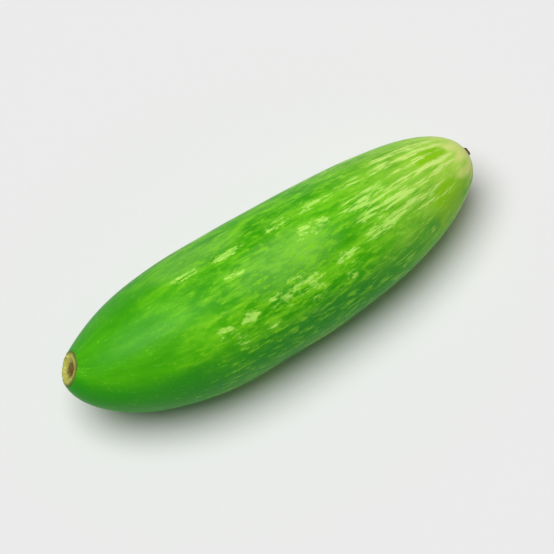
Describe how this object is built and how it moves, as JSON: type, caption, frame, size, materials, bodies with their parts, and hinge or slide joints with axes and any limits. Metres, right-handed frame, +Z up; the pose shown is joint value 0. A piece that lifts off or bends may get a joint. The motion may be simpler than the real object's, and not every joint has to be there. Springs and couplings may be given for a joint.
{
  "type": "ivy gourd",
  "caption": "Small slender green gourd, rounded at the stem scar and tapering to a blunt tip, slightly bent, lying on its side.",
  "frame": {"origin": "under the middle of the fruit's box, on the surface it rests on", "axes": "+X along the fruit from the stem scar to the tip, +Z up from the resting surface"},
  "size_m": [0.0612, 0.0188, 0.0187],
  "materials": {
    "skin": "waxy satin green skin, mottled with broken pale yellow-green streaks, paler at the tip"
  },
  "bodies": {
    "root": {"ivy_gourd": "skin"}
  },
  "joints": []
}
